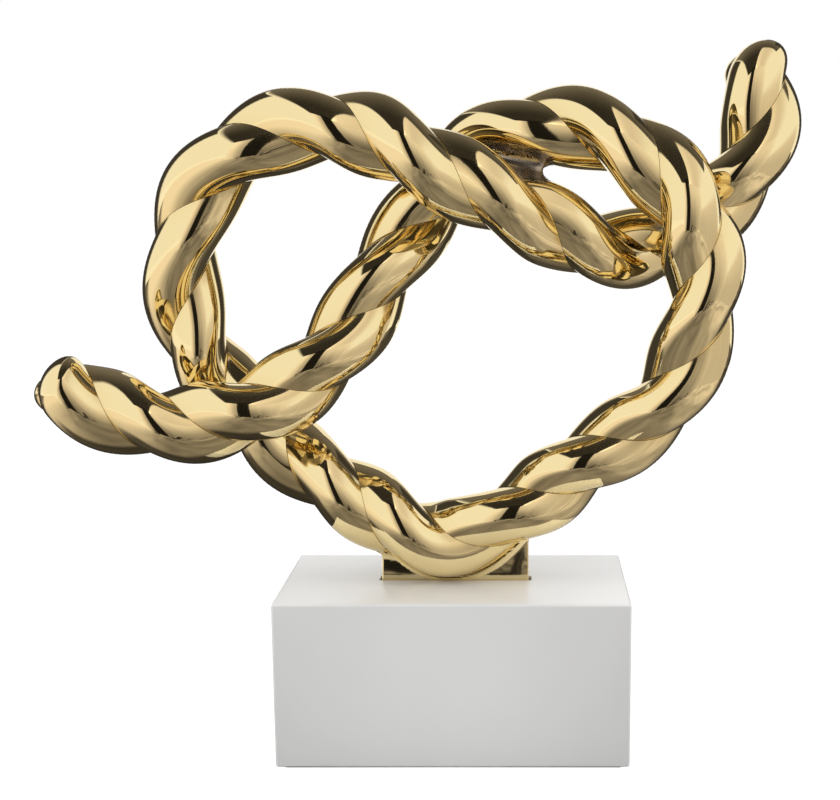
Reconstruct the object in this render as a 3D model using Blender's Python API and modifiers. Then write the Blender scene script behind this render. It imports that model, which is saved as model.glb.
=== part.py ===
"""Knot sculpture: an overhand knot, opened wide, in a two-strand rope, on a plate let into a block.

Units are metres, +Z is up, and the origin is at the centre of the face it rests on. The front of
the sculpture looks along -Y. The knot and its plate are placed from the top of the block.
"""

import math

import bmesh
import bpy
import numpy as np
from mathutils import Matrix, Vector

# The block
base_length = 0.200
base_depth = 0.100
base_height = 0.097
base_edge_radius = 0.0015

# The felt under the block
felt_thickness = 0.001
felt_inset = 0.003

# The plate that carries the knot
plate_width = 0.086
plate_thickness = 0.008
plate_let_in = 0.022
plate_edge_radius = 0.0005
plate_lean = math.radians(6.5)
plate_rise_past_rope_line = 0.004
slot_end_clearance = 0.0015

# The rope. Each strand is a round bar, cut flat by this much where it meets the other.
strand_diameter = 0.0342
strand_cut_flat = 0.0109
tip_length = 0.0150
rope_rest_gap = 0.0017
pass_spacing = 0.0460

# The fixings
rod_diameter = 0.005
rod_spacing = 0.056
rod_depth_in_plate = 0.012
rod_hole_clearance = 0.001
nut_across_flats = 0.008
nut_height = 0.004
washer_diameter = 0.015
washer_thickness = 0.0012
rod_end_beyond_nut = 0.002
counterbore_clearance = 0.0015
counterbore_depth = 0.014

# The webs in the crotches of the crossings. Each is a bead that runs midway between the two passes,
# over these half turns of the pass in front and of the pass behind, with a round hollow in its end.
left_web = {"diameter": 0.014, "front": (1.5, 2.5), "back": (15.4, 14.6)}
top_web = {"diameter": 0.020, "front": (20.1, 21.44), "back": (4.9, 6.14)}
right_web = {"diameter": 0.008, "front": (8.5, 7.35), "back": (23.3, 22.2)}
web_hollow_diameter = 0.026
web_hollow_depth = 0.002
turns_cut_past_web = 1.0

# The space that every two touching pieces keep
gap = 0.0003

# The fineness of the model
rings_per_half_turn = 8
rings_per_tip = 5
points_round_strand = 13
points_along_web = 9
circle_segments = 32
rod_segments = 24
crease_angle = math.radians(40)
weld_distance = 0.00001

# The middle line of the rope. Each point gives the half turns of lay counted from the left end,
# the steps across, the place in depth as a share of pass_offset (-1 passes in front at a crossing,
# +1 behind) and the steps above the lowest part of the line. One step is rope_line_step.
rope_diameter = 2 * (strand_diameter - strand_cut_flat)
pass_offset = pass_spacing / 2
rope_line_step = 0.001
rope_line = [
    (-1.0, -247, -1.00, 125),
    (0.0, -216, -1.10, 93),
    (0.5, -192, -1.10, 80),
    (1.0, -166, -1.05, 73),
    (2.0, -115, -1.00, 79),
    (3.0, -71, -0.45, 107),
    (4.0, -41, 0.40, 154),
    (5.0, -6, 1.00, 204),
    (5.5, 16, 0.90, 225),
    (6.0, 42, 0.55, 236),
    (7.0, 96, -0.35, 227),
    (8.0, 132, -1.00, 188),
    (9.0, 139, -0.85, 138),
    (10.0, 119, -0.40, 81),
    (11.0, 74, -0.10, 45),
    (11.5, 54, -0.05, 29),
    (12.0, 32, 0.00, 14),
    (12.5, 0, 0.00, 0),
    (13.0, -29, 0.00, 5),
    (13.5, -52, 0.10, 19),
    (14.0, -73, 0.40, 32),
    (14.5, -98, 0.75, 47),
    (15.0, -119, 1.00, 67),
    (16.0, -152, 0.95, 110),
    (17.0, -155, 0.50, 172),
    (18.0, -121, -0.10, 222),
    (19.0, -66, -0.50, 236),
    (20.0, -20, -0.90, 221),
    (21.0, 30, -0.66, 194),
    (21.5, 54, -0.35, 182),
    (22.0, 77, 0.10, 170),
    (23.0, 127, 1.00, 176),
    (24.0, 168, 1.00, 212),
    (24.5, 177, 1.10, 238),
    (25.0, 176, 1.45, 265),
    (26.0, 172, 2.60, 297),
]
rope_start = -0.26
rope_end = 25.38

# Strand one faces this point at each even number of half turns, strand two at each odd number.
front_point = Vector((40, -740, 225)) * rope_line_step

# Worked out from the sizes above
rope_line_height = rope_diameter / 2 + rope_rest_gap
block_bottom = felt_thickness + gap
counterbore_top = block_bottom + counterbore_depth
plate_bottom = -plate_let_in
plate_top = rope_line_height + plate_rise_past_rope_line
strand_offset = (rope_diameter - strand_diameter) / 2

for item in list(bpy.data.objects):
    bpy.data.objects.remove(item, do_unlink=True)


def new_collection(name):
    old = bpy.data.collections.get(name)
    if old:
        bpy.data.collections.remove(old)
    collection = bpy.data.collections.new(name)
    bpy.context.scene.collection.children.link(collection)
    return collection


parts = new_collection("knot_sculpture")
cutters = new_collection("cutters")


def make_material(name, colour, roughness, metallic):
    material = bpy.data.materials.new(name)
    material.use_nodes = True
    shader = material.node_tree.nodes["Principled BSDF"]
    shader.inputs["Base Color"].default_value = (*colour, 1.0)
    shader.inputs["Roughness"].default_value = roughness
    shader.inputs["Metallic"].default_value = metallic
    return material


gold = make_material("gold plate", (0.83, 0.66, 0.36), 0.06, 1.0)
web_gold = make_material("gold plate in the crotches", (0.62, 0.50, 0.30), 0.15, 1.0)
white_paint = make_material("white paint", (0.80, 0.80, 0.79), 0.55, 0.0)
zinc = make_material("zinc plate", (0.62, 0.63, 0.65), 0.30, 1.0)
felt = make_material("felt", (0.09, 0.09, 0.09), 0.95, 0.0)


def add_object(name, mesh, collection, material=None, location=(0, 0, 0), parent=None):
    item = bpy.data.objects.new(name, mesh)
    collection.objects.link(item)
    item.location = location
    item.parent = parent
    if material:
        mesh.materials.append(material)
    if collection is cutters:
        item.hide_render = True
        item.display_type = "WIRE"
    return item


def mesh_from(name, build):
    """A mesh whose faces the function `build` adds to an empty bmesh."""
    data = bmesh.new()
    build(data)
    mesh = bpy.data.meshes.new(name)
    data.to_mesh(mesh)
    data.free()
    return mesh


def shade(mesh):
    mesh.shade_smooth()
    mesh.set_sharp_from_angle(angle=crease_angle)


def box_mesh(name, length, depth, height):
    size = Matrix.Diagonal((length, depth, height, 1.0))
    return mesh_from(name, lambda data: bmesh.ops.create_cube(data, size=1.0, matrix=size))


def cylinder_mesh(name, diameter, height, segments=circle_segments):
    def build(data):
        bmesh.ops.create_cone(
            data, cap_ends=True, segments=segments, depth=height,
            radius1=diameter / 2, radius2=diameter / 2,
        )

    mesh = mesh_from(name, build)
    shade(mesh)
    return mesh


def round_edges(item, radius, segments=2):
    bevel = item.modifiers.new("rounded edges", "BEVEL")
    bevel.width = radius
    bevel.segments = segments
    bevel.limit_method = "ANGLE"


def cut(item, cutter):
    boolean = item.modifiers.new("cut by " + cutter.name, "BOOLEAN")
    boolean.operation = "DIFFERENCE"
    boolean.solver = "EXACT"
    boolean.object = cutter


# The knot and its plate hang on this empty, at the middle of the block's top face.
knot = bpy.data.objects.new("knot", None)
parts.objects.link(knot)
knot.location = (0, 0, base_height)


def smooth_line(stations, points):
    """Natural cubic spline through the points: a function of half turns."""
    count = len(stations)
    step = np.diff(stations)
    slope = np.diff(points, axis=0) / step[:, None]
    matrix = np.eye(count)
    right = np.zeros_like(points)
    for i in range(1, count - 1):
        matrix[i, i - 1:i + 2] = step[i - 1], 2 * (step[i - 1] + step[i]), step[i]
        right[i] = slope[i] - slope[i - 1]
    bend = np.linalg.solve(matrix, right)

    def at(turns):
        i = int(np.clip(np.searchsorted(stations, turns, side="right") - 1, 0, count - 2))
        h = step[i]
        a = (stations[i + 1] - turns) / h
        b = 1 - a
        place = a * points[i] + b * points[i + 1]
        place = place + h * h * ((a**3 - a) * bend[i] + (b**3 - b) * bend[i + 1])
        along = slope[i] + h * ((1 - 3 * a * a) * bend[i] + (3 * b * b - 1) * bend[i + 1])
        return Vector(place), Vector(along)

    return at


line = np.array(rope_line)
line_points = np.column_stack((
    line[:, 1] * rope_line_step,
    line[:, 2] * pass_offset,
    line[:, 3] * rope_line_step + rope_line_height,
))
rope_at = smooth_line(line[:, 0], line_points)


def ring_stations():
    """Half turns of every ring, and how full the section is there: 1 along the rope, 0 at a tip."""
    start_speed = rope_at(rope_start)[1].length
    end_speed = rope_at(rope_end)[1].length
    tip = []
    for i in range(rings_per_tip + 1):
        angle = math.radians(90) * i / rings_per_tip
        tip.append((tip_length * (1 - math.cos(angle)), math.sin(angle)))
    stations = [(rope_start + distance / start_speed, fullness) for distance, fullness in tip]
    tail = [(rope_end - distance / end_speed, fullness) for distance, fullness in reversed(tip)]
    first = stations[-1][0]
    last = tail[0][0]
    count = round((last - first) * rings_per_half_turn)
    for i in range(1, count):
        stations.append((first + (last - first) * i / count, 1.0))
    return stations + tail


stations = ring_stations()
corner_angle = math.acos((gap / 2 - strand_offset) / (strand_diameter / 2))
section_angles = [
    corner_angle * (2 * i / (points_round_strand - 1) - 1) for i in range(points_round_strand)
] + [math.pi]


def strand_ring(turns, fullness, strand, swell):
    """One ring of a strand: a round section with a flat against the other strand.

    With a swell the section is that much thicker all round and has no flat, for cutting.
    """
    place, along = rope_at(turns)
    along.normalize()
    front = (front_point - place).normalized()
    front = (front - along * front.dot(along)).normalized()
    side = along.cross(front)
    angle = math.pi * (turns + strand)
    outward = math.cos(angle) * front + math.sin(angle) * side
    around = -math.sin(angle) * front + math.cos(angle) * side
    radius = fullness * (strand_diameter / 2 + swell)
    ring = []
    for section_angle in section_angles:
        out = strand_offset + radius * math.cos(section_angle)
        across = radius * math.sin(section_angle)
        if not swell:
            out = max(out, gap / 2)
        ring.append(place + outward * out + around * across)
    return ring


def strand_mesh(name, strand, swell=0.0, turns=None):
    """A strand lofted through its rings, or the stretch of it between two numbers of half turns."""
    chosen = [(t, full) for t, full in stations if full > 0]
    has_start = has_end = True
    if turns:
        chosen = [(t, full) for t, full in chosen if turns[0] <= t <= turns[1]]
        has_start = has_end = False
    pole_turns = [chosen[0][0], chosen[-1][0]]
    if has_start:
        pole_turns[0] = rope_start
    if has_end:
        pole_turns[1] = rope_end
    last = len(section_angles) - 1

    def build(data):
        rings = []
        for t, full in chosen:
            rings.append([data.verts.new(point) for point in strand_ring(t, full, strand, swell)])
        poles = [
            data.verts.new(sum(strand_ring(t, 0.0, strand, swell), Vector()) / len(section_angles))
            for t in pole_turns
        ]
        for ring, after in zip(rings, rings[1:]):
            for j in range(len(ring)):
                k = (j + 1) % len(ring)
                if j == last - 1:
                    data.faces.new((ring[j], ring[k], after[k]))
                    data.faces.new((ring[j], after[k], after[j]))
                else:
                    data.faces.new((ring[j], ring[k], after[j]))
                    data.faces.new((ring[k], after[k], after[j]))
        for j in range(len(section_angles)):
            k = (j + 1) % len(section_angles)
            data.faces.new((rings[0][k], rings[0][j], poles[0]))
            data.faces.new((rings[-1][j], rings[-1][k], poles[1]))
        bmesh.ops.recalc_face_normals(data, faces=data.faces)

    mesh = mesh_from(name, build)
    shade(mesh)
    return mesh


def strand_cutters(name, spans):
    """Both strands over each span of half turns, swollen by the gap."""
    made = []
    for span in spans:
        for strand in (0, 1):
            title = f"{name}_{len(made)}"
            made.append(add_object(title, strand_mesh(title, strand, gap, span), cutters, parent=knot))
    return made


# The two strands of the rope
for strand, title in enumerate(("rope_strand_one", "rope_strand_two")):
    add_object(title, strand_mesh(title, strand), parts, gold, parent=knot)


def plate_mesh(name):
    """A bar as thick as its slot up to the top of the block, whose faces lean in above it."""
    half = plate_thickness / 2
    half_at_top = half - plate_top * math.tan(plate_lean)
    section = (
        (-half, plate_bottom), (half, plate_bottom), (half, 0),
        (half_at_top, plate_top), (-half_at_top, plate_top), (-half, 0),
    )

    def build(data):
        ends = [
            [data.verts.new((x, y, z)) for y, z in section] for x in (-plate_width / 2, plate_width / 2)
        ]
        data.faces.new(ends[0])
        data.faces.new(ends[1])
        for i in range(len(section)):
            j = (i + 1) % len(section)
            data.faces.new((ends[0][i], ends[0][j], ends[1][j], ends[1][i]))
        bmesh.ops.recalc_face_normals(data, faces=data.faces)

    return mesh_from(name, build)


# The mounting plate, hollowed along its top to the underside of the rope
plate = add_object("mounting_plate", plate_mesh("mounting_plate"), parts, gold, parent=knot)
round_edges(plate, plate_edge_radius, 1)
turns_over_plate = [t for t, _ in stations if rope_at(t)[0].z < plate_top + rope_diameter]
for cutter in strand_cutters("rope_over_plate", [(min(turns_over_plate), max(turns_over_plate))]):
    cut(plate, cutter)


def bead_mesh(name, points, diameter):
    """A round bead along the points, with closed ends."""
    curve = bpy.data.curves.new(name, "CURVE")
    curve.dimensions = "3D"
    curve.bevel_depth = diameter / 2
    curve.bevel_resolution = 3
    curve.use_fill_caps = True
    spline = curve.splines.new("POLY")
    spline.points.add(len(points) - 1)
    for spline_point, point in zip(spline.points, points):
        spline_point.co = (*point, 1.0)
    bead = add_object(name + "_line", curve, cutters)
    bpy.context.view_layer.update()
    mesh = bpy.data.meshes.new_from_object(bead.evaluated_get(bpy.context.evaluated_depsgraph_get()))
    mesh.name = name
    bpy.data.objects.remove(bead, do_unlink=True)
    data = bmesh.new()
    data.from_mesh(mesh)
    bmesh.ops.remove_doubles(data, verts=data.verts, dist=weld_distance)
    data.to_mesh(mesh)
    data.free()
    shade(mesh)
    return mesh


# The webs between the two passes of each crossing
for title, size in (
    ("crossing_web_left", left_web), ("crossing_web_top", top_web), ("crossing_web_right", right_web),
):
    middle = [
        (rope_at(front_turns)[0] + rope_at(back_turns)[0]) / 2
        for front_turns, back_turns in zip(
            np.linspace(*size["front"], points_along_web), np.linspace(*size["back"], points_along_web)
        )
    ]
    web = add_object(title, bead_mesh(title, middle, size["diameter"]), parts, web_gold, parent=knot)
    along = (middle[-1] - middle[-2]).normalized()
    hollow = add_object(
        title + "_hollow",
        cylinder_mesh(title + "_hollow", web_hollow_diameter, 2 * size["diameter"]),
        cutters, None, middle[-1] + along * (web_hollow_diameter / 2 - web_hollow_depth), knot,
    )
    hollow.rotation_euler = (math.radians(90), 0, 0)
    cut(web, hollow)
    spans = [
        (min(size[name]) - turns_cut_past_web, max(size[name]) + turns_cut_past_web)
        for name in ("front", "back")
    ]
    for cutter in strand_cutters("rope_at_" + title, spans):
        cut(web, cutter)

# The block, with a slot for the plate and a counterbored hole for each rod
block_height = base_height - block_bottom
block = add_object(
    "base_block",
    box_mesh("base_block", base_length, base_depth, block_height),
    parts, white_paint, (0, 0, block_bottom + block_height / 2),
)
round_edges(block, base_edge_radius, 3)
slot_depth = plate_let_in + gap
slot = add_object(
    "slot",
    box_mesh("slot", plate_width + 2 * slot_end_clearance, plate_thickness + 2 * gap, 2 * slot_depth),
    cutters, None, (0, 0, base_height),
)
cut(block, slot)

washer_top = counterbore_top - gap
nut_top = washer_top - washer_thickness - gap
rod_bottom = nut_top - nut_height - rod_end_beyond_nut
rod_top = base_height + plate_bottom + rod_depth_in_plate - gap

for side, tag in ((-1, "left"), (1, "right")):
    x = side * rod_spacing / 2
    hole = add_object(
        "rod_passage_" + tag,
        cylinder_mesh("rod_passage", rod_diameter + 2 * rod_hole_clearance, 2 * base_height),
        cutters, None, (x, 0, 0),
    )
    cut(block, hole)
    counterbore = add_object(
        "counterbore_" + tag,
        cylinder_mesh("counterbore", washer_diameter + 2 * counterbore_clearance, 2 * counterbore_top),
        cutters, None, (x, 0, 0),
    )
    cut(block, counterbore)
    rod_hole = add_object(
        "rod_hole_" + tag,
        cylinder_mesh("rod_hole", rod_diameter + 2 * gap, 2 * rod_depth_in_plate),
        cutters, None, (x, 0, plate_bottom), knot,
    )
    cut(plate, rod_hole)
    add_object(
        "threaded_rod_" + tag,
        cylinder_mesh("threaded_rod", rod_diameter, rod_top - rod_bottom, rod_segments),
        parts, zinc, (x, 0, (rod_top + rod_bottom) / 2),
    )
    bore = add_object(
        "bore_" + tag,
        cylinder_mesh("bore", rod_diameter + 2 * gap, 2 * counterbore_top, rod_segments),
        cutters, None, (x, 0, counterbore_top),
    )
    washer = add_object(
        "washer_" + tag,
        cylinder_mesh("washer", washer_diameter, washer_thickness),
        parts, zinc, (x, 0, washer_top - washer_thickness / 2),
    )
    nut = add_object(
        "nut_" + tag,
        cylinder_mesh("nut", nut_across_flats / math.cos(math.radians(30)), nut_height, 6),
        parts, zinc, (x, 0, nut_top - nut_height / 2),
    )
    cut(washer, bore)
    cut(nut, bore)

# The felt
add_object(
    "felt_pad",
    box_mesh("felt_pad", base_length - 2 * felt_inset, base_depth - 2 * felt_inset, felt_thickness),
    parts, felt, (0, 0, felt_thickness / 2),
)
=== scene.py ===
"""The looks of the knot sculpture: a polished gold rope knot on a plate in a white block."""

import math

import bmesh
import bpy
import numpy as np
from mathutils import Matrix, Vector, interpolate, noise
from mathutils.bvhtree import BVHTree


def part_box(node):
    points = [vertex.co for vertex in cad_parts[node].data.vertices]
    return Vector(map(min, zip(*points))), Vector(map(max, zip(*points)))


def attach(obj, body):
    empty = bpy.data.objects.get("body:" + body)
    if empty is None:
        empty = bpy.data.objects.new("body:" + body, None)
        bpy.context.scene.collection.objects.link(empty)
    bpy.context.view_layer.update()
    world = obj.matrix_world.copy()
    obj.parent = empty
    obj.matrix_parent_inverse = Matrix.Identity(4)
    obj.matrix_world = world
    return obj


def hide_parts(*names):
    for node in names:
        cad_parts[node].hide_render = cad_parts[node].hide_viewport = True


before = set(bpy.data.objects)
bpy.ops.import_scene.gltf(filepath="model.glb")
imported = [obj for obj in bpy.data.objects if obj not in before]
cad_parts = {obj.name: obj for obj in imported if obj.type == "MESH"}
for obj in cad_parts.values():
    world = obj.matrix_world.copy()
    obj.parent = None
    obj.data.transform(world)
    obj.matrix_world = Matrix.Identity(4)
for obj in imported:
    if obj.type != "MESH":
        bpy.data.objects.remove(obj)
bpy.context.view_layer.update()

# The felt pad. A sheet of grey needled felt, cut with shears a little smaller than the block and
# glued under it. It hides the fixings and keeps the block from scratching a table.
felt_low, felt_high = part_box("felt_pad")
felt_corner_radius = 0.003
felt_corner_points = 8
felt_edge_step = 0.0015
felt_edge_break = 0.0002
felt_shear_wander = 0.00012
felt_shear_ripples = 300
felt_dark = (0.10, 0.10, 0.105)
felt_light = (0.21, 0.21, 0.215)


class Shade:
    """An output of a shader node. Arithmetic on it adds Math nodes, so shading reads as expressions."""

    def __init__(self, tree, socket=None):
        self.tree = tree
        self.socket = socket

    def feed(self, target):
        self.tree.links.new(self.socket, target)

    def node(self, kind, settings=None, inputs=None, output=0):
        """Adds a node of that kind, sets its settings, then the values or links of its sockets."""
        made = self.tree.nodes.new("ShaderNode" + kind)
        for name, value in (settings or {}).items():
            setattr(made, name, value)
        for name, value in (inputs or {}).items():
            if isinstance(value, Shade):
                value.feed(made.inputs[name])
            else:
                made.inputs[name].default_value = value
        return Shade(self.tree, made.outputs[output])

    def math(self, operation, *values):
        return self.node("Math", {"operation": operation}, dict(enumerate(values)))

    def __add__(self, other):
        return self.math("ADD", self, other)

    def __sub__(self, other):
        return self.math("SUBTRACT", self, other)

    def __rsub__(self, other):
        return self.math("SUBTRACT", other, self)

    def __mul__(self, other):
        return self.math("MULTIPLY", self, other)

    __radd__ = __add__
    __rmul__ = __mul__


def new_material(name):
    """A material, the start of its shading and its Principled shader."""
    material = bpy.data.materials.new(name)
    material.use_nodes = True
    return material, Shade(material.node_tree), material.node_tree.nodes["Principled BSDF"]


def place_on_surface(shade):
    """The place of a point of the piece, in metres."""
    return shade.node("TexCoord", output="Object")


def speckle(place, scale, detail=2.0, rough=0.5):
    """Noise from 0 to 1 with that many lumps to a metre."""
    return place.node("TexNoise", {}, {"Vector": place, "Scale": scale, "Detail": detail, "Roughness": rough})


def set_bump(shader, height, distance):
    """Feeds the shader's normal with a relief of that height in metres."""
    bump = height.node("Bump", {}, {"Height": height, "Distance": distance})
    bump.feed(shader.inputs["Normal"])


def mix_colours(amount, first, second):
    """A colour that goes from the first to the second with the amount."""
    return amount.node("Mix", {"data_type": "RGBA"}, {0: amount, 6: (*first, 1.0), 7: (*second, 1.0)}, 2)


def add_piece(name, mesh, material):
    """Puts a mesh into the scene with its one material."""
    piece = bpy.data.objects.new(name, mesh)
    bpy.context.scene.collection.objects.link(piece)
    mesh.materials.append(material)
    return piece


sharp_edge_angle = 40


def mesh_from_bmesh(name, shape, sharp_angle=sharp_edge_angle):
    """Turns a bmesh into a mesh with its faces outward, smooth but for edges sharper than the angle."""
    bmesh.ops.recalc_face_normals(shape, faces=shape.faces)
    mesh = bpy.data.meshes.new(name)
    shape.to_mesh(mesh)
    shape.free()
    mesh.shade_smooth()
    mesh.set_sharp_from_angle(angle=math.radians(sharp_angle))
    return mesh


def felt_outline():
    """Points round the sheet, with rounded corners and straight cuts that wander a little."""
    corners = (
        (felt_high.x, felt_high.y, 0), (felt_low.x, felt_high.y, 90),
        (felt_low.x, felt_low.y, 180), (felt_high.x, felt_low.y, 270),
    )
    outline = []
    for x, y, first_angle in corners:
        centre_x = x - math.copysign(felt_corner_radius, x)
        centre_y = y - math.copysign(felt_corner_radius, y)
        for i in range(felt_corner_points + 1):
            angle = math.radians(first_angle + 90 * i / felt_corner_points)
            outline.append(Vector((
                centre_x + felt_corner_radius * math.cos(angle),
                centre_y + felt_corner_radius * math.sin(angle), 0,
            )))
    cut = []
    for start, end in zip(outline, outline[1:] + outline[:1]):
        steps = max(1, round((end - start).length / felt_edge_step))
        cut.extend(start.lerp(end, i / steps) for i in range(steps))
    for point in cut:
        inward = -point.normalized()
        point += inward * felt_shear_wander * (1 + noise.noise(point * felt_shear_ripples))
    return cut


outline = felt_outline()
sheet = bmesh.new()
rims = []
rim_places = ((felt_low.z, felt_edge_break), (felt_low.z + felt_edge_break, 0.0), (felt_high.z, 0.0))
for height, inset in rim_places:
    rims.append([
        sheet.verts.new((point - point.normalized() * inset) + Vector((0, 0, height))) for point in outline
    ])
for lower, upper in zip(rims, rims[1:]):
    for i in range(len(outline)):
        j = (i + 1) % len(outline)
        sheet.faces.new((lower[i], lower[j], upper[j], upper[i]))
sheet.faces.new(rims[0])
sheet.faces.new(rims[-1])

felt, shade, shader = new_material("grey needled felt")
place = place_on_surface(shade)
fibres = speckle(place, 2600, 6.0, 0.7)
tufts = speckle(place, 260, 3.0)
mix_colours(fibres * 0.7 + tufts * 0.3, felt_dark, felt_light).feed(shader.inputs["Base Color"])
shader.inputs["Roughness"].default_value = 1.0
shader.inputs["Specular IOR Level"].default_value = 0.1
shader.inputs["Sheen Weight"].default_value = 0.4
set_bump(shader, fibres + tufts, 0.0003)

pad = add_piece("felt_sheet", mesh_from_bmesh("felt_sheet", sheet), felt)
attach(pad, "root")
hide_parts("felt_pad")

# The block. Fibreboard glued up and machined square, with its edges eased by hand, sprayed with satin
# white paint. A slot in its top takes the plate, and two counterbored holes under it take the fixings.
block_low, block_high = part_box("base_block")
plate_low, plate_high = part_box("mounting_plate")
rod_low, rod_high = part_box("threaded_rod_right")
washer_low, washer_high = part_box("washer_right")
block_edge_radius = 0.0015
slot_end_clearance = 0.0015
slot_side_clearance = 0.0003
slot_edge_break = 0.0003
counterbore_clearance = 0.0015
rod_hole_clearance = 0.001
fixing_gap = 0.0003
cutter_overshoot = 0.01
rod_place = (rod_low.x + rod_high.x) / 2
rod_diameter = rod_high.x - rod_low.x
washer_diameter = washer_high.x - washer_low.x
paint_colour = (0.80, 0.80, 0.795)
paint_dull_colour = (0.765, 0.765, 0.76)


def box_between(low, high):
    """A bmesh box between two corners."""
    shape = bmesh.new()
    bmesh.ops.create_cube(shape, size=1.0)
    size = Vector(high) - Vector(low)
    centre = (Vector(low) + Vector(high)) / 2
    bmesh.ops.scale(shape, vec=size, verts=shape.verts)
    bmesh.ops.translate(shape, vec=centre, verts=shape.verts)
    return shape


def turned(profile, centre, segments):
    """A bmesh turned about the upright axis at centre, from (radius, height) points of a closed profile."""
    shape = bmesh.new()
    rings = []
    for radius, height in profile:
        rings.append([
            shape.verts.new((
                centre[0] + radius * math.cos(math.tau * i / segments),
                centre[1] + radius * math.sin(math.tau * i / segments), height,
            )) for i in range(segments)
        ])
    for lower, upper in zip(rings, rings[1:] + rings[:1]):
        for i in range(segments):
            j = (i + 1) % segments
            shape.faces.new((lower[i], lower[j], upper[j], upper[i]))
    return shape


def round_pin(radius, low, high, centre, segments=64):
    """A bmesh cylinder, used as a cutter."""
    shape = bmesh.new()
    bmesh.ops.create_cone(
        shape, cap_ends=True, segments=segments, radius1=radius, radius2=radius, depth=high - low,
    )
    bmesh.ops.translate(shape, vec=(centre[0], centre[1], (low + high) / 2), verts=shape.verts)
    return shape


def cut_away(piece, *shapes):
    """Cuts bmesh shapes out of a piece and leaves it a plain mesh."""
    for shape in shapes:
        cutter = bpy.data.objects.new("cutter", mesh_from_bmesh("cutter", shape))
        bpy.context.scene.collection.objects.link(cutter)
        modifier = piece.modifiers.new("cut", "BOOLEAN")
        modifier.operation = "DIFFERENCE"
        modifier.object = cutter
        evaluated = piece.evaluated_get(bpy.context.evaluated_depsgraph_get())
        result = bpy.data.meshes.new_from_object(evaluated)
        result.name = piece.name
        piece.modifiers.clear()
        piece.data = result
        bpy.data.objects.remove(cutter)
    piece.data.shade_smooth()
    piece.data.set_sharp_from_angle(angle=math.radians(sharp_edge_angle))


paint, shade, shader = new_material("satin white paint")
place = place_on_surface(shade)
spray = speckle(place, 1500, 2.0)
cloud = speckle(place, 22, 3.0)
mix_colours(cloud, paint_dull_colour, paint_colour).feed(shader.inputs["Base Color"])
(0.34 + cloud * 0.08).feed(shader.inputs["Roughness"])
shader.inputs["Coat Weight"].default_value = 0.8
shader.inputs["Coat Roughness"].default_value = 0.25
set_bump(shader, spray * 0.4 + speckle(place, 120, 2.0), 0.00003)

shape = box_between(block_low, block_high)
bmesh.ops.bevel(
    shape, geom=shape.edges, offset=block_edge_radius, segments=6, profile=0.5, affect="EDGES",
)
block = add_piece("white_block", mesh_from_bmesh("white_block", shape), paint)
slot_half = Vector((plate_high.x + slot_end_clearance, plate_high.y + slot_side_clearance, 0))
slot = box_between(
    (-slot_half.x, -slot_half.y, plate_low.z - slot_side_clearance),
    (slot_half.x, slot_half.y, block_high.z + cutter_overshoot),
)
slot_mouth = bmesh.new()
for height, wider in ((-slot_edge_break, 0.0), (slot_edge_break, 2 * slot_edge_break)):
    for side_x, side_y in ((-1, -1), (1, -1), (1, 1), (-1, 1)):
        slot_mouth.verts.new((
            side_x * (slot_half.x + wider), side_y * (slot_half.y + wider), block_high.z + height,
        ))
bmesh.ops.convex_hull(slot_mouth, input=slot_mouth.verts)
cutters = [slot, slot_mouth]
rod_hole_radius = rod_diameter / 2 + rod_hole_clearance
counterbore_radius = washer_diameter / 2 + counterbore_clearance
for side in (-1, 1):
    centre = (side * rod_place, 0)
    cutters.append(round_pin(rod_hole_radius, 0, block_high.z + cutter_overshoot, centre))
    cutters.append(round_pin(counterbore_radius, -cutter_overshoot, washer_high.z + fixing_gap, centre))
cut_away(block, *cutters)
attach(block, "root")
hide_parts("base_block")

# The fixings. Two zinc-plated threaded rods screw up into the plate's lower edge. A washer and a nut
# on each, in the block's counterbores, pull the plate down into its slot.
thread_pitch = 0.0008
thread_depth = 0.00043
thread_segments = 24
thread_rings_per_pitch = 4
rod_end_chamfer = 0.0006
nut_low, nut_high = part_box("nut_right")
nut_across_flats = min(nut_high.x - nut_low.x, nut_high.y - nut_low.y)
nut_edge_break = 0.0002
nut_sharp_angle = 25
thread_sharp_angle = 60
washer_edge = 0.0002
washer_segments = 64
bore_segments = 32
zinc_colour = (0.60, 0.62, 0.64)
zinc_blue = (0.50, 0.56, 0.64)


def thread_mesh(name, centre_x):
    """A rod with one helical thread, its ends drawn in to a chamfer."""
    shape = bmesh.new()
    outer = rod_diameter / 2
    length = rod_high.z - rod_low.z
    steps = round(length / thread_pitch * thread_rings_per_pitch)
    rings = []
    for i in range(steps + 1):
        height = rod_low.z + length * i / steps
        end_room = min(height - rod_low.z, rod_high.z - height)
        limit = outer - max(0.0, rod_end_chamfer - end_room)
        ring = []
        for k in range(thread_segments):
            angle = math.tau * k / thread_segments
            phase = (height / thread_pitch - k / thread_segments) % 1.0
            radius = outer - thread_depth * (1 - abs(2 * phase - 1))
            radius = min(radius, limit)
            ring.append(shape.verts.new((
                centre_x + radius * math.cos(angle), radius * math.sin(angle), height,
            )))
        rings.append(ring)
    for lower, upper in zip(rings, rings[1:]):
        for k in range(thread_segments):
            j = (k + 1) % thread_segments
            shape.faces.new((lower[k], lower[j], upper[j], upper[k]))
    shape.faces.new(rings[0])
    shape.faces.new(rings[-1])
    return mesh_from_bmesh(name, shape, thread_sharp_angle)


zinc, shade, shader = new_material("zinc plated steel")
place = place_on_surface(shade)
bloom = speckle(place, 180, 4.0)
mix_colours(bloom, zinc_colour, zinc_blue).feed(shader.inputs["Base Color"])
shader.inputs["Metallic"].default_value = 1.0
(0.28 + bloom * 0.22).feed(shader.inputs["Roughness"])
set_bump(shader, speckle(place, 2400, 3.0), 0.00002)

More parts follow.
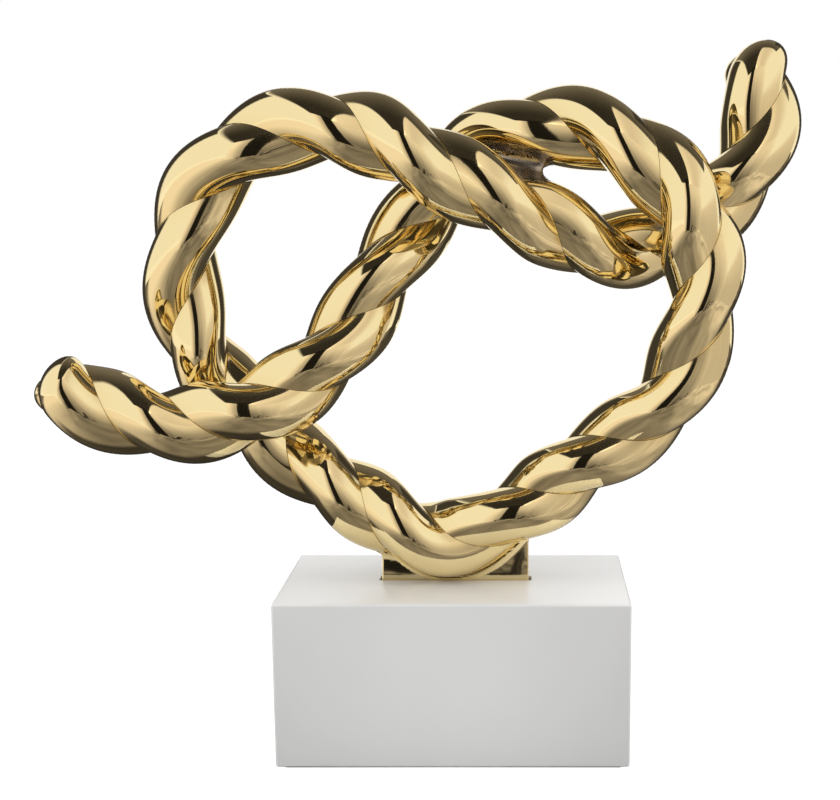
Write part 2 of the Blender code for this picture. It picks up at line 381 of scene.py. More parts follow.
for side, tag in ((-1, "left"), (1, "right")):
    centre = (side * rod_place, 0)
    rod = add_piece("zinc_rod_" + tag, thread_mesh("zinc_rod_" + tag, centre[0]), zinc)
    bore = rod_diameter / 2 + fixing_gap
    rim = washer_diameter / 2
    washer_shape = turned([
        (bore, washer_low.z), (rim - washer_edge, washer_low.z), (rim, washer_low.z + washer_edge),
        (rim, washer_high.z - washer_edge), (rim - washer_edge, washer_high.z), (bore, washer_high.z),
    ], centre, washer_segments)
    washer = add_piece("zinc_washer_" + tag, mesh_from_bmesh("zinc_washer_" + tag, washer_shape), zinc)
    corner = nut_across_flats / 2 / math.cos(math.radians(30))
    nut_shape = bmesh.new()
    bmesh.ops.create_cone(
        nut_shape, cap_ends=True, segments=6, radius1=corner, radius2=corner, depth=nut_high.z - nut_low.z,
    )
    bmesh.ops.bevel(
        nut_shape, geom=nut_shape.edges, offset=nut_edge_break, segments=2, profile=0.5, affect="EDGES",
    )
    bmesh.ops.translate(nut_shape, vec=(*centre, (nut_low.z + nut_high.z) / 2), verts=nut_shape.verts)
    nut = add_piece("zinc_nut_" + tag, mesh_from_bmesh("zinc_nut_" + tag, nut_shape, nut_sharp_angle), zinc)
    cut_away(nut, round_pin(
        bore, nut_low.z - cutter_overshoot, nut_high.z + cutter_overshoot, centre, bore_segments,
    ))
    for piece, node in ((rod, "threaded_rod_"), (washer, "washer_"), (nut, "nut_")):
        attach(piece, "root")
        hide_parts(node + tag)

# The mounting plate. A strip of the rope's own metal, let into the block's slot and standing up between
# the strands, gold plated and polished with them. The two rods screw into its lower edge.
plate_edge_radius = 0.0008
plate_lean = math.radians(6.5)
gold_colour = (0.905, 0.745, 0.405)
# The second gold is darker: painted shade for the groove between the strands.
gold_groove_shade_colour = (0.88, 0.70, 0.35)

gold, shade, shader = new_material("polished gold plate")
place = place_on_surface(shade)
hand_polish = speckle(place, 34, 1.0)
buffing = speckle(place, 210, 2.0)
haze = speckle(place, 65, 4.0)
# The groove attribute is 1 at the seam between the strands. It darkens the gold there, which is painted shade
# in the groove, and makes it a little rougher.
groove = shade.node("Attribute", {"attribute_name": "groove"}, output="Fac")
mix_colours(groove * 0.8 + haze * 0.2, gold_colour, gold_groove_shade_colour).feed(shader.inputs["Base Color"])
shader.inputs["Metallic"].default_value = 1.0
(0.02 + haze * 0.05 + groove * 0.10).feed(shader.inputs["Roughness"])
set_bump(shader, hand_polish + buffing * 0.06, 0.00022)


def plate_shape():
    """The plate: a bar as thick as its slot below the block's top, its faces leaning in above it."""
    shape = bmesh.new()
    top_half_depth = plate_high.y - (plate_high.z - block_high.z) * math.tan(plate_lean)
    section = (
        (plate_low.y, plate_low.z), (plate_high.y, plate_low.z), (plate_high.y, block_high.z),
        (top_half_depth, plate_high.z), (-top_half_depth, plate_high.z), (plate_low.y, block_high.z),
    )
    ends = [[shape.verts.new((x, y, z)) for y, z in section] for x in (plate_low.x, plate_high.x)]
    shape.faces.new(ends[0])
    shape.faces.new(ends[1])
    for i in range(len(section)):
        j = (i + 1) % len(section)
        shape.faces.new((ends[0][i], ends[0][j], ends[1][j], ends[1][i]))
    bmesh.ops.bevel(
        shape, geom=shape.edges, offset=plate_edge_radius, segments=5, profile=0.5, affect="EDGES",
    )
    bmesh.ops.recalc_face_normals(shape, faces=shape.faces)
    return shape


plate = add_piece("gold_foot_plate", mesh_from_bmesh("gold_foot_plate", plate_shape()), gold)
tapped_hole = (rod_diameter / 2 + fixing_gap, plate_low.z - cutter_overshoot, rod_high.z + fixing_gap)
cut_away(plate, *(round_pin(*tapped_hole, (side * rod_place, 0), bore_segments) for side in (-1, 1)))
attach(plate, "root")
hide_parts("mounting_plate")

# The rope. Two strands of cast metal are laid right-handed round each other, plated with gold and
# polished to a mirror. Each is a round cut flat against the other, and ends in a rounded tip.
strand_diameter = 0.0340
strand_cut_flat = 0.0108
strand_seam = 0.0003
strand_tip_length = 0.0150
rope_diameter = 2 * (strand_diameter - strand_cut_flat)
strand_offset = (rope_diameter - strand_diameter) / 2
pass_offset = 0.0230
rope_line_rest = 0.0250
block_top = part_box("base_block")[1].z
rope_lowest = block_top + rope_line_rest

# Each point of the rope's middle line: half turns of lay from the left end, millimetres across,
# place in depth as a share of pass_offset, and millimetres above the lowest part of the line.
rope_line = [
    (-1.0, -247, -1.00, 125),
    (0.0, -216, -1.10, 93),
    (0.5, -192, -1.10, 80),
    (1.0, -166, -1.05, 73),
    (2.0, -115, -1.00, 79),
    (3.0, -71, -0.45, 107),
    (4.0, -41, 0.40, 154),
    (5.0, -6, 1.00, 204),
    (5.5, 16, 0.90, 225),
    (6.0, 42, 0.55, 236),
    (7.0, 96, -0.35, 227),
    (8.0, 132, -1.00, 188),
    (9.0, 139, -0.85, 138),
    (10.0, 119, -0.40, 81),
    (11.0, 74, -0.10, 45),
    (11.5, 54, -0.05, 29),
    (12.0, 32, 0.00, 14),
    (12.5, 0, 0.00, 0),
    (13.0, -29, 0.00, 5),
    (13.5, -52, 0.10, 19),
    (14.0, -73, 0.40, 32),
    (14.5, -98, 0.75, 47),
    (15.0, -119, 1.00, 67),
    (16.0, -152, 0.95, 110),
    (17.0, -155, 0.50, 172),
    (18.0, -121, -0.10, 222),
    (19.0, -66, -0.50, 236),
    (20.0, -20, -0.90, 221),
    (21.0, 30, -0.66, 194),
    (21.5, 54, -0.35, 182),
    (22.0, 77, 0.10, 170),
    (23.0, 127, 1.00, 176),
    (24.0, 168, 1.00, 212),
    (24.5, 177, 1.10, 238),
    (25.0, 176, 1.45, 265),
    (26.0, 172, 2.60, 297),
]
millimetre = 0.001
rope_start = -0.26
rope_end = 25.38

# At each even number of half turns the first strand lies on the side of the rope that faces this point.
rope_front_point = Vector((0.040, -0.740, block_top + 0.225))

# The line is a natural cubic spline through those points.
line = np.array(rope_line)
line_turns = line[:, 0]
line_places = np.column_stack((
    line[:, 1] * millimetre, line[:, 2] * pass_offset, line[:, 3] * millimetre + rope_lowest,
))
line_step = np.diff(line_turns)
line_slope = np.diff(line_places, axis=0) / line_step[:, None]
bend_matrix = np.eye(len(line))
bend_right = np.zeros_like(line_places)
for i in range(1, len(line) - 1):
    bend_matrix[i, i - 1:i + 2] = line_step[i - 1], 2 * (line_step[i - 1] + line_step[i]), line_step[i]
    bend_right[i] = line_slope[i] - line_slope[i - 1]
line_bend = np.linalg.solve(bend_matrix, bend_right)


def rope_at(turns):
    """The place of the rope's middle line and its rate of travel, at a number of half turns."""
    i = int(np.clip(np.searchsorted(line_turns, turns, side="right") - 1, 0, len(line_step) - 1))
    h = line_step[i]
    a = (line_turns[i + 1] - turns) / h
    b = 1 - a
    place = a * line_places[i] + b * line_places[i + 1]
    place = place + h * h * ((a**3 - a) * line_bend[i] + (b**3 - b) * line_bend[i + 1])
    along = line_slope[i] + h * ((1 - 3 * a * a) * line_bend[i] + (3 * b * b - 1) * line_bend[i + 1])
    return Vector(place), Vector(along)


rings_per_half_turn = 24
rings_per_tip = 14
arc_points = 44
flat_points = 5
groove_sharpness = 6
corner_angle = math.acos((strand_seam / 2 - strand_offset) / (strand_diameter / 2))


def strand_ring(turns, fullness, strand):
    """One ring of a strand, with how near each of its points is to the groove between the strands."""
    place, along = rope_at(turns)
    along.normalize()
    front = (rope_front_point - place).normalized()
    front = (front - along * front.dot(along)).normalized()
    side = along.cross(front)
    angle = math.pi * (turns + strand)
    outward = math.cos(angle) * front + math.sin(angle) * side
    around = -math.sin(angle) * front + math.cos(angle) * side
    radius = fullness * strand_diameter / 2
    ring = []
    for i in range(arc_points):
        section_angle = corner_angle * (2 * i / (arc_points - 1) - 1)
        out = max(strand_offset + radius * math.cos(section_angle), strand_seam / 2)
        across = radius * math.sin(section_angle)
        nearness = fullness * (abs(section_angle) / corner_angle) ** groove_sharpness
        ring.append((place + outward * out + around * across, nearness))
    flat_out = max(strand_offset + radius * math.cos(corner_angle), strand_seam / 2)
    for i in range(1, flat_points + 1):
        across = radius * math.sin(corner_angle) * (1 - 2 * i / (flat_points + 1))
        ring.append((place + outward * flat_out + around * across, 1.0))
    return ring


def strand_stations():
    """Half turns of every ring and how full it is there, close together along the rounded tips."""
    start_speed = rope_at(rope_start)[1].length
    end_speed = rope_at(rope_end)[1].length
    tip = []
    for i in range(1, rings_per_tip + 1):
        angle = math.pi / 2 * i / rings_per_tip
        tip.append((strand_tip_length * (1 - math.cos(angle)), math.sin(angle)))
    head = [(rope_start + distance / start_speed, fullness) for distance, fullness in tip]
    tail = [(rope_end - distance / end_speed, fullness) for distance, fullness in reversed(tip)]
    first, last = head[-1][0], tail[0][0]
    count = round((last - first) * rings_per_half_turn)
    body = [(first + (last - first) * i / count, 1.0) for i in range(1, count)]
    return head + body + tail


def tube_faces(ring_count, ring_size):
    """Quads round a stack of rings, wound outward for rings that run clockwise about their travel."""
    faces = []
    for i in range(ring_count - 1):
        for j in range(ring_size):
            k = (j + 1) % ring_size
            faces.append((
                i * ring_size + j, i * ring_size + k, (i + 1) * ring_size + k, (i + 1) * ring_size + j,
            ))
    return faces


def strand_mesh(name, strand):
    """A whole strand, its tips closed at a pole, with the nearness to the groove kept for the painted shade
    and the rougher gold there.
    """
    stations = strand_stations()
    rings = [strand_ring(turns, fullness, strand) for turns, fullness in stations]
    size = len(rings[0])
    points = [point for ring in rings for point, _ in ring]
    nearness = [near for ring in rings for _, near in ring]
    faces = tube_faces(len(rings), size)
    for turns, ring_index in ((rope_start, 0), (rope_end, len(rings) - 1)):
        pole = sum((point for point, _ in strand_ring(turns, 0.0, strand)), Vector()) / size
        points.append(pole)
        nearness.append(0.0)
        base = ring_index * size
        for j in range(size):
            faces.append((base + j, base + (j + 1) % size, len(points) - 1))
    mesh = bpy.data.meshes.new(name)
    mesh.from_pydata(points, [], faces)
    # The nearness to the groove sets the painted shade and the roughness of the gold along the seam.
    attribute = mesh.attributes.new("groove", "FLOAT", "POINT")
    attribute.data.foreach_set("value", nearness)
    fix = bmesh.new()
    fix.from_mesh(mesh)
    bmesh.ops.recalc_face_normals(fix, faces=fix.faces)
    fix.to_mesh(mesh)
    fix.free()
    mesh.shade_smooth()
    mesh.set_sharp_from_angle(angle=math.radians(sharp_edge_angle))
    return mesh


for strand, (title, node) in enumerate((
    ("gold_strand_one", "rope_strand_one"), ("gold_strand_two", "rope_strand_two"),
)):
    piece = add_piece(title, strand_mesh(title, strand), gold)
    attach(piece, "root")
    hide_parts(node)

# The webs. Where one pass of the rope lies over another, and where the rope stands on its plate, the
# crotch between them is filled with brazing metal, dressed to a smooth hollow and plated with the rest.
web_reach = 0.008
web_steps = 24
web_least_lift = 0.00003
web_greatest_lift = 0.5
web_settled = 0.000002
web_tolerance = 0.00005
web_overlap = 0.0028
core_bite = 0.0180
core_half_thickness = 0.0055
core_greatest_half = 0.0105
core_rings = 32
core_corner_radius = 0.003
core_step = 0.0013
weld_reach = 0.004
weld_cell = 0.0008
weld_stretch = (11.5, 13.9)
# Both crotch colours are darker than the rope's gold: painted shade in the crotches between the passes.
crotch_shade_colour = (0.50, 0.43, 0.33)
crotch_deep_shade_colour = (0.36, 0.31, 0.26)

# The core's rounded end with its hollow: shares of the last ring, and how far each stands beyond it.
core_end = ((0.97, 0.0008), (0.88, 0.0013), (0.7, 0.0010), (0.5, 0.0006), (0.25, 0.0003), (0.05, 0.0002))


class Skin:
    """The surface of a piece that a web is dressed against, with its smooth normals."""

    def __init__(self, shape):
        shape.normal_update()
        shape.verts.index_update()
        self.points = [vert.co.copy() for vert in shape.verts]
        self.normals = [vert.normal.copy() for vert in shape.verts]
        self.faces = [[vert.index for vert in face.verts] for face in shape.faces]
        self.tree = BVHTree.FromBMesh(shape)
        shape.free()

    def distance(self, point, limit):
        """How far a point is outside the skin, and the skin's nearest place and face."""
        nearest, normal, index, distance = self.tree.find_nearest(point, limit)
        if nearest is None:
            return limit, None
        if (point - nearest).dot(normal) < 0:
            distance = -distance
        return distance, (nearest, index)

    def smooth_normal(self, nearest, index):
        """The skin's normal at a place on one of its faces, blended from the corners."""
        corners = self.faces[index]
        shares = interpolate.poly_3d_calc([self.points[i] for i in corners], nearest)
        return sum((self.normals[i] * share for i, share in zip(corners, shares)), Vector()).normalized()


def strand_skin(strand, first_turn, last_turn):
    """A stretch of a strand between two numbers of half turns."""
    chosen = [t for t, fullness in strand_stations() if fullness == 1.0 and first_turn <= t <= last_turn]
    rings = [[point for point, _ in strand_ring(t, 1.0, strand)] for t in chosen]
    shape = bmesh.new()
    verts = [shape.verts.new(point) for ring in rings for point in ring]
    for corners in tube_faces(len(rings), len(rings[0])):
        shape.faces.new([verts[i] for i in corners])
    shape.normal_update()
    middle = sum(rings[0], Vector()) / len(rings[0])
    if (verts[0].co - middle).dot(verts[0].normal) < 0:
        bmesh.ops.reverse_faces(shape, faces=shape.faces)
    return Skin(shape)


def plate_skin():
    """The plate above the block, cut into small squares."""
    shape = plate_shape()
    cuts = [(1, step) for step in np.arange(plate_low.x, plate_high.x, weld_cell)]
    cuts += [(0, step) for step in np.arange(block_high.z, plate_high.z, weld_cell)]
    for across, step in cuts:
        everything = shape.verts[:] + shape.edges[:] + shape.faces[:]
        bmesh.ops.bisect_plane(
            shape, geom=everything, plane_co=(step * across, 0, step * (1 - across)),
            plane_no=(across, 0, 1 - across),
        )
    return Skin(shape)


def core_outline():
    """The section of a bar with rounded corners: shares of its half height, places across its thickness."""
    height, width, radius = core_greatest_half, core_half_thickness, core_corner_radius
    corners = [(-height, -width), (height, -width), (height, width), (-height, width)]
    section = []
    for (up, aside), (next_up, next_aside) in zip(corners, corners[1:] + corners[:1]):
        steps = round((abs(next_up - up) + abs(next_aside - aside)) / core_step)
        for i in range(steps):
            point = Vector((up + (next_up - up) * i / steps, aside + (next_aside - aside) * i / steps))
            inner = Vector((
                max(radius - height, min(height - radius, point.x)),
                max(radius - width, min(width - radius, point.y)),
            ))
            point = inner + (point - inner).normalized() * radius
            section.append((point.x / height, point.y))
    return section


def core_skin(front_turns, back_turns):
    """The bar of brazing metal midway between the passes where they part, with a hollow in its end."""
    core_section = core_outline()
    sides = [
        (rope_at(front)[0], rope_at(back)[0])
        for front, back in zip(np.linspace(*front_turns, core_rings), np.linspace(*back_turns, core_rings))
    ]
    middle = [(front + back) / 2 for front, back in sides]
    rings = []
    for i, (front, back) in enumerate(sides):
        along = (middle[min(i + 1, core_rings - 1)] - middle[max(i - 1, 0)]).normalized()
        across = back - front
        across -= along * across.dot(along)
        half = across.length / 2 - core_bite
        across.normalize()
        out = along.cross(across)
        rings.append([
            middle[i] + across * up * half + out * aside for up, aside in core_section
        ])
    last, end = rings[-1], middle[-1]
    for share, beyond in core_end:
        rings.append([end + (point - end) * share + along * beyond for point in last])
    shape = bmesh.new()
    verts = [shape.verts.new(point) for ring in rings for point in ring]
    for corners in tube_faces(len(rings), len(core_section)):
        shape.faces.new([verts[i] for i in corners])
    shape.faces.new(verts[:len(core_section)])
    shape.faces.new(verts[-len(core_section):])
    bmesh.ops.recalc_face_normals(shape, faces=shape.faces)
    return Skin(shape)


def nearest_of(skins, point, limit):
    """The least distance from any of the skins, with that skin and where it is nearest."""
    return min(((*skin.distance(point, limit), skin) for skin in skins), key=lambda found: found[0])


def web_level(point, sides, reach):
    """Below 0 in the metal of any side or in the web between them. Also the sides, nearest first."""
    found = sorted((nearest_of(side, point, 2 * reach) for side in sides), key=lambda near: near[0])
    overlaps = [max(reach - (near[0] - found[0][0]), 0) / reach for near in found[1:]]
    return found[0][0] - sum(overlap * overlap for overlap in overlaps) * reach / 4, found, overlaps


def web_normal(found, overlaps):
    """The web's normal: the nearest side's, turned towards the others as they come near."""
    normal = found[0][2].smooth_normal(*found[0][1]) * (1 - sum(overlaps) / 2)
    for near, overlap in zip(found[1:], overlaps):
        if overlap > 0 and near[1]:
            normal += near[2].smooth_normal(*near[1]) * (overlap / 2)
    return normal.normalized()


def web_piece(name, sides, reach):
    """The skin of a web: each side's surface near the others, lifted to the hollow between them."""
    points, normals, faces = [], [], []
    for own in sides:
        others = [side for side in sides if side is not own]
        for skin in own:
            places = {}
            lifts = {}
            for index, (start, out) in enumerate(zip(skin.points, skin.normals)):
                if min(nearest_of(other, start, reach)[0] for other in others) >= reach:
                    continue
                lift = 0.0
                for _ in range(web_steps):
                    point = start + out * lift
                    level, found, overlaps = web_level(point, sides, reach)
                    if level > -web_settled or lift > web_greatest_lift * reach:
                        break
                    lift -= level
                own_distance = nearest_of(own, point, 2 * reach)[0]
                if level > -web_tolerance and own_distance - found[0][0] < web_overlap:
                    places[index] = len(points)
                    lifts[index] = lift
                    points.append(point)
                    normals.append(web_normal(found, overlaps))
            for corners in skin.faces:
                if all(i in places for i in corners) and max(lifts[i] for i in corners) > web_least_lift:
                    faces.append([places[i] for i in corners])
    mesh = bpy.data.meshes.new(name)
    mesh.from_pydata(points, [], faces)
    mesh.shade_smooth()
    mesh.normals_split_custom_set_from_vertices(normals)
    return mesh


crotch_gold, shade, shader = new_material("gold plate in the crotches")
place = place_on_surface(shade)
dullness = speckle(place, 90, 3.0)
# The colour is painted shade in the crotches. Random blotches go between its two tones and make the gold
# rougher.
mix_colours(dullness, crotch_shade_colour, crotch_deep_shade_colour).feed(shader.inputs["Base Color"])
shader.inputs["Metallic"].default_value = 1.0
(0.16 + dullness * 0.14).feed(shader.inputs["Roughness"])
set_bump(shader, speckle(place, 400, 2.0), 0.00004)

# Each web's stretches of the pass in front and the pass behind. A core fills it where they part.
webs = (
    ("left", (0.6, 3.4), (13.9, 16.2), []),
    ("top", (4.0, 6.9), (19.5, 22.2), [core_skin((20.1, 21.40), (4.9, 6.10))]),
    ("right", (6.6, 9.2), (21.6, 24.3), []),
)
for tag, first_span, second_span, core in webs:
    sides = [[strand_skin(strand, *span) for strand in (0, 1)] for span in (first_span, second_span)]
    if core:
        sides.append(core)
    piece = add_piece("gold_web_" + tag, web_piece("gold_web_" + tag, sides, web_reach), crotch_gold)
    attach(piece, "root")
    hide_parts("crossing_web_" + tag)

over_plate = [strand_skin(strand, *weld_stretch) for strand in (0, 1)]
weld_mesh = web_piece("gold_foot_weld", [[plate_skin()], over_plate], weld_reach)
weld = add_piece("gold_foot_weld", weld_mesh, gold)
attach(weld, "root")

# The studio. A white floor in a white surround, a big soft lamp on either side, and small ones near the
# block. Flags of black and grey cloth and board hang where a mirror shows them but the lens doesn't.
floor_half_width = 8.0
surround_overhead = 1.0
floor_white = (0.55, 0.55, 0.55)
floor_glow_share = 0.85
floor_glow_strength = 1.20


def add_stage(name, corners, material):
    """A flat sheet of the studio, which isn't part of the object."""
    shape = bmesh.new()
    shape.faces.new([shape.verts.new(corner) for corner in corners])
    mesh = bpy.data.meshes.new(name)
    shape.to_mesh(mesh)
    shape.free()
    sheet = add_piece(name, mesh, material)
    return sheet


def shows_background(shade):
    """1 for what the lens, a mirror or glass sees, 0 for what lights a matt surface."""
    camera_ray = shade.node("LightPath", output="Is Camera Ray")
    glossy_ray = shade.node("LightPath", output="Is Glossy Ray")
    glass_ray = shade.node("LightPath", output="Is Transmission Ray")
    return camera_ray.math("MAXIMUM", camera_ray.math("MAXIMUM", camera_ray, glossy_ray), glass_ray)


def ramp(value, start, end, first, last):
    """Goes from first to last, evened out at both ends, as the value goes from start to end."""
    return value.node("MapRange", {"interpolation_type": "SMOOTHSTEP"}, {
        "Value": value, "From Min": start, "From Max": end, "To Min": first, "To Max": last,
    })


world = bpy.data.worlds.new("white surround")
bpy.context.scene.world = world
world.use_nodes = True
background = world.node_tree.nodes["Background"]
background.inputs["Color"].default_value = (1.0, 1.0, 1.0, 1.0)
shade = Shade(world.node_tree)
seen = shows_background(shade)
direction = shade.node("TexCoord", output="Generated")
height = shade.node("SeparateXYZ", {}, {"Vector": direction}, "Z")
matt_level = ramp(height, 0.0, 1.0, 0.0, surround_overhead)
(matt_level + seen * (1.0 - matt_level)).feed(background.inputs["Strength"])

floor_paint, shade, shader = new_material("white floor")
shader.inputs["Base Color"].default_value = (*floor_white, 1.0)
shader.inputs["Roughness"].default_value = 1.0
shader.inputs["Specular IOR Level"].default_value = 0.0
glow = shade.node("Emission", {}, {"Color": (1.0, 1.0, 1.0, 1.0), "Strength": floor_glow_strength})
floor_mix = shade.node("MixShader")
mixer = floor_mix.socket.node
(shows_background(shade) * floor_glow_share).feed(mixer.inputs[0])
shade.tree.links.new(shader.outputs[0], mixer.inputs[1])
glow.feed(mixer.inputs[2])
floor_mix.feed(floor_paint.node_tree.nodes["Material Output"].inputs["Surface"])
w = floor_half_width
add_stage("floor", [(-w, -w, 0), (w, -w, 0), (w, w, 0), (-w, w, 0)], floor_paint)

# Each flag has its corners, how bright it is at a place on it, as a share of the surround's white, and,
# where its edge is soft or it has gaps, a cover.
warm_grey = (1.0, 0.92, 0.87)


def add_flag(name, corners, level, cover=None):
    """A sheet that shows only in mirrors. The cover is 1 where it hangs and 0 where one sees past it."""
    material = bpy.data.materials.new(name)
    material.use_nodes = True
    tree = material.node_tree
    shade = Shade(tree)
    tree.nodes.remove(tree.nodes["Principled BSDF"])
    place = shade.node("NewGeometry", output="Position")
    axes = [shade.node("SeparateXYZ", {}, {"Vector": place}, axis) for axis in ("X", "Y", "Z")]
    surface = shade.node("Emission", {}, {"Color": (*warm_grey, 1.0), "Strength": level(*axes)})
    if cover:
        soft_mix = shade.node("MixShader")
        mixer = soft_mix.socket.node
        cover(*axes).feed(mixer.inputs[0])
        shade.node("BsdfTransparent").feed(mixer.inputs[1])
        surface.feed(mixer.inputs[2])
        surface = soft_mix
    surface.feed(tree.nodes["Material Output"].inputs["Surface"])
    flag = add_stage(name, corners, material)
    flag.visible_camera = False
    flag.visible_diffuse = False
    flag.visible_shadow = False


def corners_of(first_span, second_span):
    """The four corners of a rectangle, in order round it."""
    left, right = first_span
    low, high = second_span
    return [(left, low), (right, low), (right, high), (left, high)]


def upright(x_span, z_span, y):
    """Corners of a sheet that faces the sculpture's front or back."""
    return [(x, y, z) for x, z in corners_of(x_span, z_span)]


def sideways(y_span, z_span, x):
    """Corners of a sheet that faces the sculpture's left or right."""
    return [(x, y, z) for y, z in corners_of(y_span, z_span)]


def level_with(x_span, y_span, z):
    """Corners of a sheet that lies flat at a height."""
    return [(x, y, z) for x, y in corners_of(x_span, y_span)]


def folds(value, count):
    """Soft upright folds, from 0 to 1, along a curtain."""
    along = value.node("CombineXYZ", {}, {"X": value})
    return value.node("TexNoise", {}, {"Vector": along, "Scale": count, "Detail": 4.0})


def clutter(across, up, count):
    """The blurred shapes of a room, from 0 to 1, over a sheet."""
    spot = across.node("CombineXYZ", {}, {"X": across, "Y": up})
    return across.node("TexNoise", {}, {"Vector": spot, "Scale": count, "Detail": 3.0, "Distortion": 0.6})


def flat_level(level):
    """One brightness all over a sheet."""
    return lambda x, y, z: level + z * 0.0


room_front = -0.95
room_left = -0.62
room_right = 0.64
room_back = 1.15
room_top = 1.08
stand_front = -0.80
table_mat_height = 0.0004
dark_mat_height = 0.0008

add_flag(
    "dark_ceiling", level_with((room_left, 1.0), (room_front, room_back), room_top),
    lambda x, y, z: ramp(y, -0.4, 0.8, 0.03, 0.17),
    lambda x, y, z: (
        ramp(y - ramp(x, -0.07, 0.26, -1.10, 0.0), -0.05, 0.05, 0.0, 1.0)
        * ramp(x, room_left, room_left + 0.08, 0.0, 1.0)
    ),
)
add_flag(
    "ceiling_front_right", level_with((-0.05, 1.0), (room_front, 0.06), room_top + 0.01),
    lambda x, y, z: ramp(x, 0.0, 0.14, 2.0, 0.95) - ramp(x, 0.14, 0.40, 0.0, 0.17),
    lambda x, y, z: ramp(x, 0.45, 1.0, 1.0, 0.0),
)
add_flag(
    "front_curtain", upright((-0.50, room_right + 0.3), (0, 1.3), room_front),
    lambda x, y, z: (
        ramp(x, -0.50, -0.20, 1.0, 0.32) + ramp(x, 0.05, 0.70, 0.0, 0.38) + (folds(x, 9.0) - 0.5) * 0.35
        + ramp(z, 0.10, 1.0, -0.10, 0.50) * ramp(x, -0.10, 0.0, 0.2, 1.0) * ramp(x, 0.10, 0.7, 1.0, 0.4)
    ),
    lambda x, y, z: ramp(x, 0.55, room_right + 0.3, 1.0, 0.0),
)
add_flag(
    "lens_shadow", upright((-0.235, 0.0), (0.05, 1.1), stand_front),
    flat_level(0.012),
    lambda x, y, z: (
        ramp(x, -0.235, -0.215, 0.0, 1.0) * ramp(x, -0.02, 0.0, 1.0, 0.0) * ramp(z, 0.05, 0.07, 0.0, 1.0)
    ),
)
for tag, leg_span in (("left", (-0.275, -0.250)), ("right", (0.022, 0.055))):
    add_flag("stand_leg_" + tag, upright(leg_span, (0.008, 0.062), stand_front), flat_level(0.02))
stand_shadow_outline = ((0.045, 0.035), (0.092, 0.035), (0.145, 0.19), (0.105, 0.17))
add_flag(
    "stand_shadow", [(x, stand_front + 0.02, z) for x, z in stand_shadow_outline],
    lambda x, y, z: ramp(folds(x - z * 0.4, 60.0), 0.5, 0.75, 0.015, 0.30),
)
add_flag(
    "room_clutter", upright((-0.36, 0.42), (0.0, 0.17), stand_front - 0.10),
    lambda x, y, z: ramp(clutter(x, z * 2.0, 14.0), 0.38, 0.62, 0.03, 0.42),
    lambda x, y, z: (
        ramp(clutter(x, z * 3.0, 9.0), 0.42, 0.48, 0.0, 1.0) * ramp(z, 0.08, 0.17, 1.0, 0.0)
        * ramp(x, -0.36, -0.28, 0.0, 1.0) * ramp(x, 0.30, 0.42, 1.0, 0.0)
    ),
)
for side, tag in ((-1, "left"), (1, "right")):
    add_flag(
        "back_curtain_" + tag, upright((side * 0.40, side * 1.6), (0, room_top), room_back),
        lambda x, y, z: 0.20 + (folds(x, 6.0) - 0.5) * 0.15,
    )
add_flag(
    "left_dark_mat", level_with((-0.80, -0.01), (0.14, 0.80), dark_mat_height),
    flat_level(0.05), lambda x, y, z: ramp(y, 0.14, 0.24, 0.0, 1.0),
)
add_flag(
    "right_dark_mat", level_with((0.01, 0.80), (0.16, 0.80), dark_mat_height),
    flat_level(0.07), lambda x, y, z: ramp(y, 0.16, 0.26, 0.0, 1.0),
)
add_flag(
    "right_screen", sideways((room_front, 0.18), (0, 0.50), room_right),
    lambda x, y, z: 0.62 + ramp(z, 0.15, 0.5, 0.0, 0.2) + (folds(y, 9.0) - 0.5) * 0.2,
    lambda x, y, z: ramp(z, 0.40, 0.50, 1.0, 0.0),
)
add_flag(
    "left_back_flag", sideways((0.17, 1.10), (0, room_top), room_left),
    flat_level(0.05), lambda x, y, z: ramp(y, 0.17, 0.27, 0.0, 1.0),
)
add_flag(
    "right_back_flag", sideways((0.32, 1.10), (0, room_top), room_right),
    flat_level(0.05), lambda x, y, z: ramp(y, 0.32, 0.42, 0.0, 1.0),
)
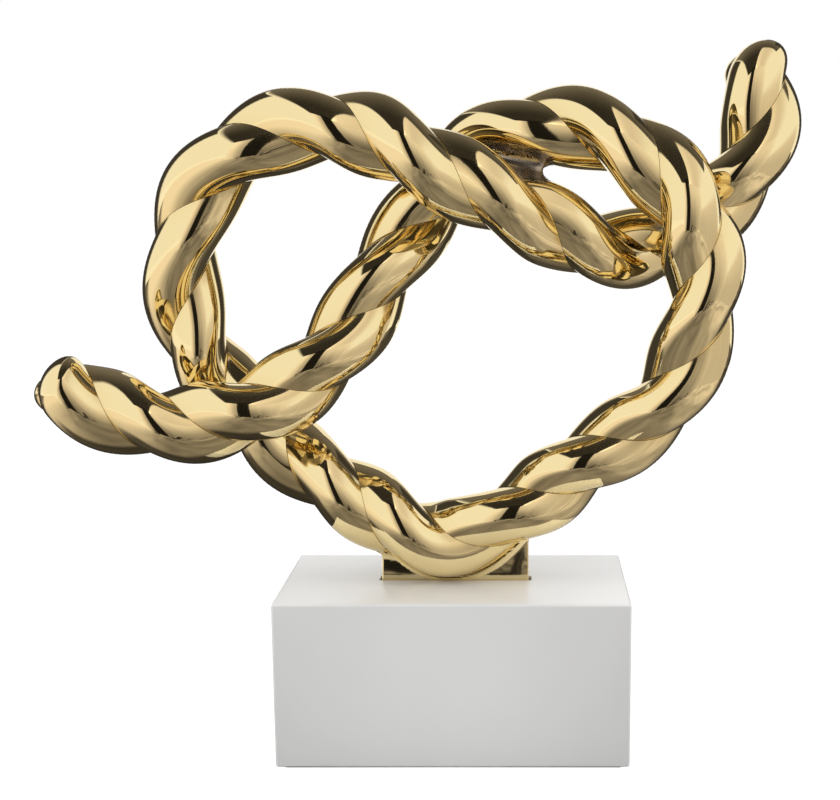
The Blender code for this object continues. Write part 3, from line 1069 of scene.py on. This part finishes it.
add_flag(
    "table_mat", level_with((-2.0, 2.0), (-2.0, 0.9), table_mat_height),
    lambda x, y, z: (
        (ramp(x, -0.75, -0.08, 1.0, 0.24) + ramp(x, 0.05, 0.60, 0.0, 0.50)) * ramp(y, 0.0, 0.30, 1.0, 0.2)
        * (1.0 + (clutter(x, y * 0.5, 7.0) - 0.5) * ramp(x, -0.45, -0.15, 0.0, 2.0))
        * ramp(y, -0.10, -0.02, 1.0, ramp(x, -0.50, -0.35, 0.85, 0.0) + ramp(x, -0.12, 0.05, 0.15, 1.0))
    ),
)


# Two lamps light the block and the floor from the sides. A small one low in front brightens the middle of
# the block's face, and one above either end brightens the front corners of its top.
def add_lamp(name, place, aim, size, watts):
    """A soft square lamp whose glare no mirror shows."""
    light = bpy.data.lights.new(name, "AREA")
    light.size = size
    light.energy = watts
    lamp = bpy.data.objects.new(name, light)
    bpy.context.scene.collection.objects.link(lamp)
    lamp.location = place
    lamp.rotation_euler = (Vector(aim) - Vector(place)).to_track_quat("-Z", "Y").to_euler()
    lamp.visible_glossy = False


block_top_middle = (0, 0, 0.10)
add_lamp("left_soft_lamp", (-0.9, -0.1, 0.6), block_top_middle, 0.6, 6.0)
add_lamp("right_soft_lamp", (0.9, -0.1, 0.6), block_top_middle, 0.6, 4.0)
add_lamp("front_soft_lamp", (0.0, -0.20, 0.035), (0, 0, 0.035), 0.12, 0.072)
for side, tag in ((-1, "left"), (1, "right")):
    add_lamp(tag + "_corner_lamp", (side * 0.15, -0.06, 0.18), (side * 0.09, -0.04, 0.097), 0.06, 0.026)

# The camera stands where the photograph was taken from.
camera = bpy.data.objects.new("camera", bpy.data.cameras.new("camera"))
bpy.context.scene.collection.objects.link(camera)
bpy.context.scene.camera = camera
camera.location = (0.0392, -0.7385, 0.3234)
camera.rotation_euler = (math.radians(80.79), 0, 0)
camera.data.sensor_fit = "HORIZONTAL"
camera.data.lens = 55.46
camera.data.shift_x = -0.1215

bpy.context.scene.view_settings.view_transform = "Standard"
